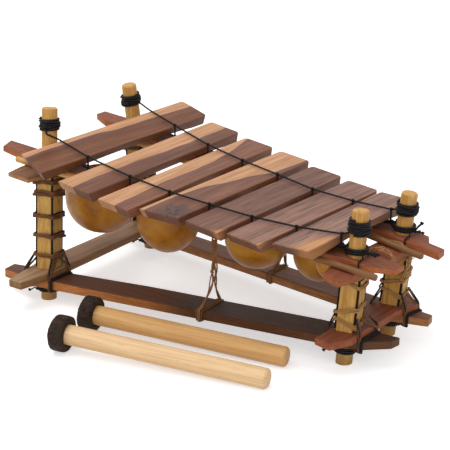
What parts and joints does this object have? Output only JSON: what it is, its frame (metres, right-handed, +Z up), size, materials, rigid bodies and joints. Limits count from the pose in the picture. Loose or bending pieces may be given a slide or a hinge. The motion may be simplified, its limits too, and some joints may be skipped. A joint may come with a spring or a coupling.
{
  "type": "balafon",
  "caption": "Small frame balafon: sloping row of wooden keys strung over gourd bowls on a lashed stand with four posts, and a pair of rubber-headed mallets beside it.",
  "frame": {"origin": "middle of the footprint, mallets included, on the surface that the posts stand on", "axes": "+X along the row of keys from the longest key to the shortest, +Y from the front (mallet side) to the back, +Z up"},
  "size_m": [0.5106, 0.3726, 0.2222],
  "materials": {
    "cane_wood": "peeled pale cane and hardwood pole, lightly oiled",
    "board_brown": "rough-sawn red-brown hardwood, dull",
    "board_tan": "weathered tan softwood, dull",
    "board_red": "rough-sawn brick-red hardwood, dull",
    "key_wood": "planed two-tone hardwood, pale sapwood and brown heartwood, satin",
    "gourd": "dried calabash shell, thin golden-brown varnish",
    "black_cord": "waxed black braided cord",
    "bark": "dark bark strip",
    "twine": "brown plant-fibre twine",
    "mallet_wood": "sanded pale stick, unvarnished",
    "mallet_rubber": "rough dark rubber"
  },
  "bodies": {
    "stand": {"bottom_cross_rail_left": "board_tan", "bottom_cross_rail_right": "board_red", "bottom_rail_back": "board_brown", "bottom_rail_front": "board_brown", "cane_back": "cane_wood", "cane_front": "cane_wood", "foot_lashing_back_left": "black_cord", "foot_lashing_back_right": "black_cord", "foot_lashing_front_left": "black_cord", "foot_lashing_front_right": "black_cord", "gourd_1": "gourd", "gourd_2": "gourd", "gourd_3": "gourd", "gourd_4": "gourd", "gourd_5": "gourd", "gourd_hangers": "black_cord", "leg_corner_cords_back_left": "black_cord", "leg_corner_cords_back_right": "black_cord", "leg_corner_cords_front_left": "black_cord", "leg_corner_cords_front_right": "black_cord", "leg_slats_back_left": "cane_wood", "leg_slats_back_right": "cane_wood", "leg_slats_front_left": "cane_wood", "leg_slats_front_right": "cane_wood", "leg_ties_back_left": "bark", "leg_ties_back_right": "bark", "leg_ties_front_left": "bark", "leg_ties_front_right": "bark", "plank_lashing_back_right": "black_cord", "plank_lashing_front_right": "black_cord", "post_back_left": "cane_wood", "post_back_right": "cane_wood", "post_front_left": "cane_wood", "post_front_right": "cane_wood", "post_lashing_back_left": "black_cord", "post_lashing_back_right": "black_cord", "post_lashing_front_left": "black_cord", "post_lashing_front_right": "black_cord", "suspension_back": "black_cord", "suspension_front": "black_cord", "top_cross_rail_left": "board_tan", "top_cross_rail_right": "board_red", "top_plank_back": "board_red", "top_plank_front": "board_red", "twine_tie_back": "twine", "twine_tie_front": "twine"},
    "key_1": {"key_1": "key_wood"},
    "key_2": {"key_2": "key_wood"},
    "key_3": {"key_3": "key_wood"},
    "key_4": {"key_4": "key_wood"},
    "key_5": {"key_5": "key_wood"},
    "key_6": {"key_6": "key_wood"},
    "key_7": {"key_7": "key_wood"},
    "mallet_front": {"mallet_handle_front": "mallet_wood", "mallet_head_front": "mallet_rubber"},
    "mallet_back": {"mallet_handle_back": "mallet_wood", "mallet_head_back": "mallet_rubber"}
  },
  "joints": [
    {"name": "key_1_lift", "type": "slide", "parent": "stand", "child": "key_1", "axis": [0, 0, 1], "range_m": [0, 0.001]},
    {"name": "key_2_lift", "type": "slide", "parent": "stand", "child": "key_2", "axis": [0, 0, 1], "range_m": [0, 0.001]},
    {"name": "key_3_lift", "type": "slide", "parent": "stand", "child": "key_3", "axis": [0, 0, 1], "range_m": [0, 0.001]},
    {"name": "key_4_lift", "type": "slide", "parent": "stand", "child": "key_4", "axis": [0, 0, 1], "range_m": [0, 0.001]},
    {"name": "key_5_lift", "type": "slide", "parent": "stand", "child": "key_5", "axis": [0, 0, 1], "range_m": [0, 0.001]},
    {"name": "key_6_lift", "type": "slide", "parent": "stand", "child": "key_6", "axis": [0, 0, 1], "range_m": [0, 0.001]},
    {"name": "key_7_lift", "type": "slide", "parent": "stand", "child": "key_7", "axis": [0, 0, 1], "range_m": [0, 0.001]},
    {"name": "mallet_front_lift_off", "type": "slide", "parent": "stand", "child": "mallet_front", "axis": [0, -0.6, 0.8], "range_m": [0, 0.25]},
    {"name": "mallet_back_lift_off", "type": "slide", "parent": "stand", "child": "mallet_back", "axis": [0, -0.6, 0.8], "range_m": [0, 0.25]}
  ]
}
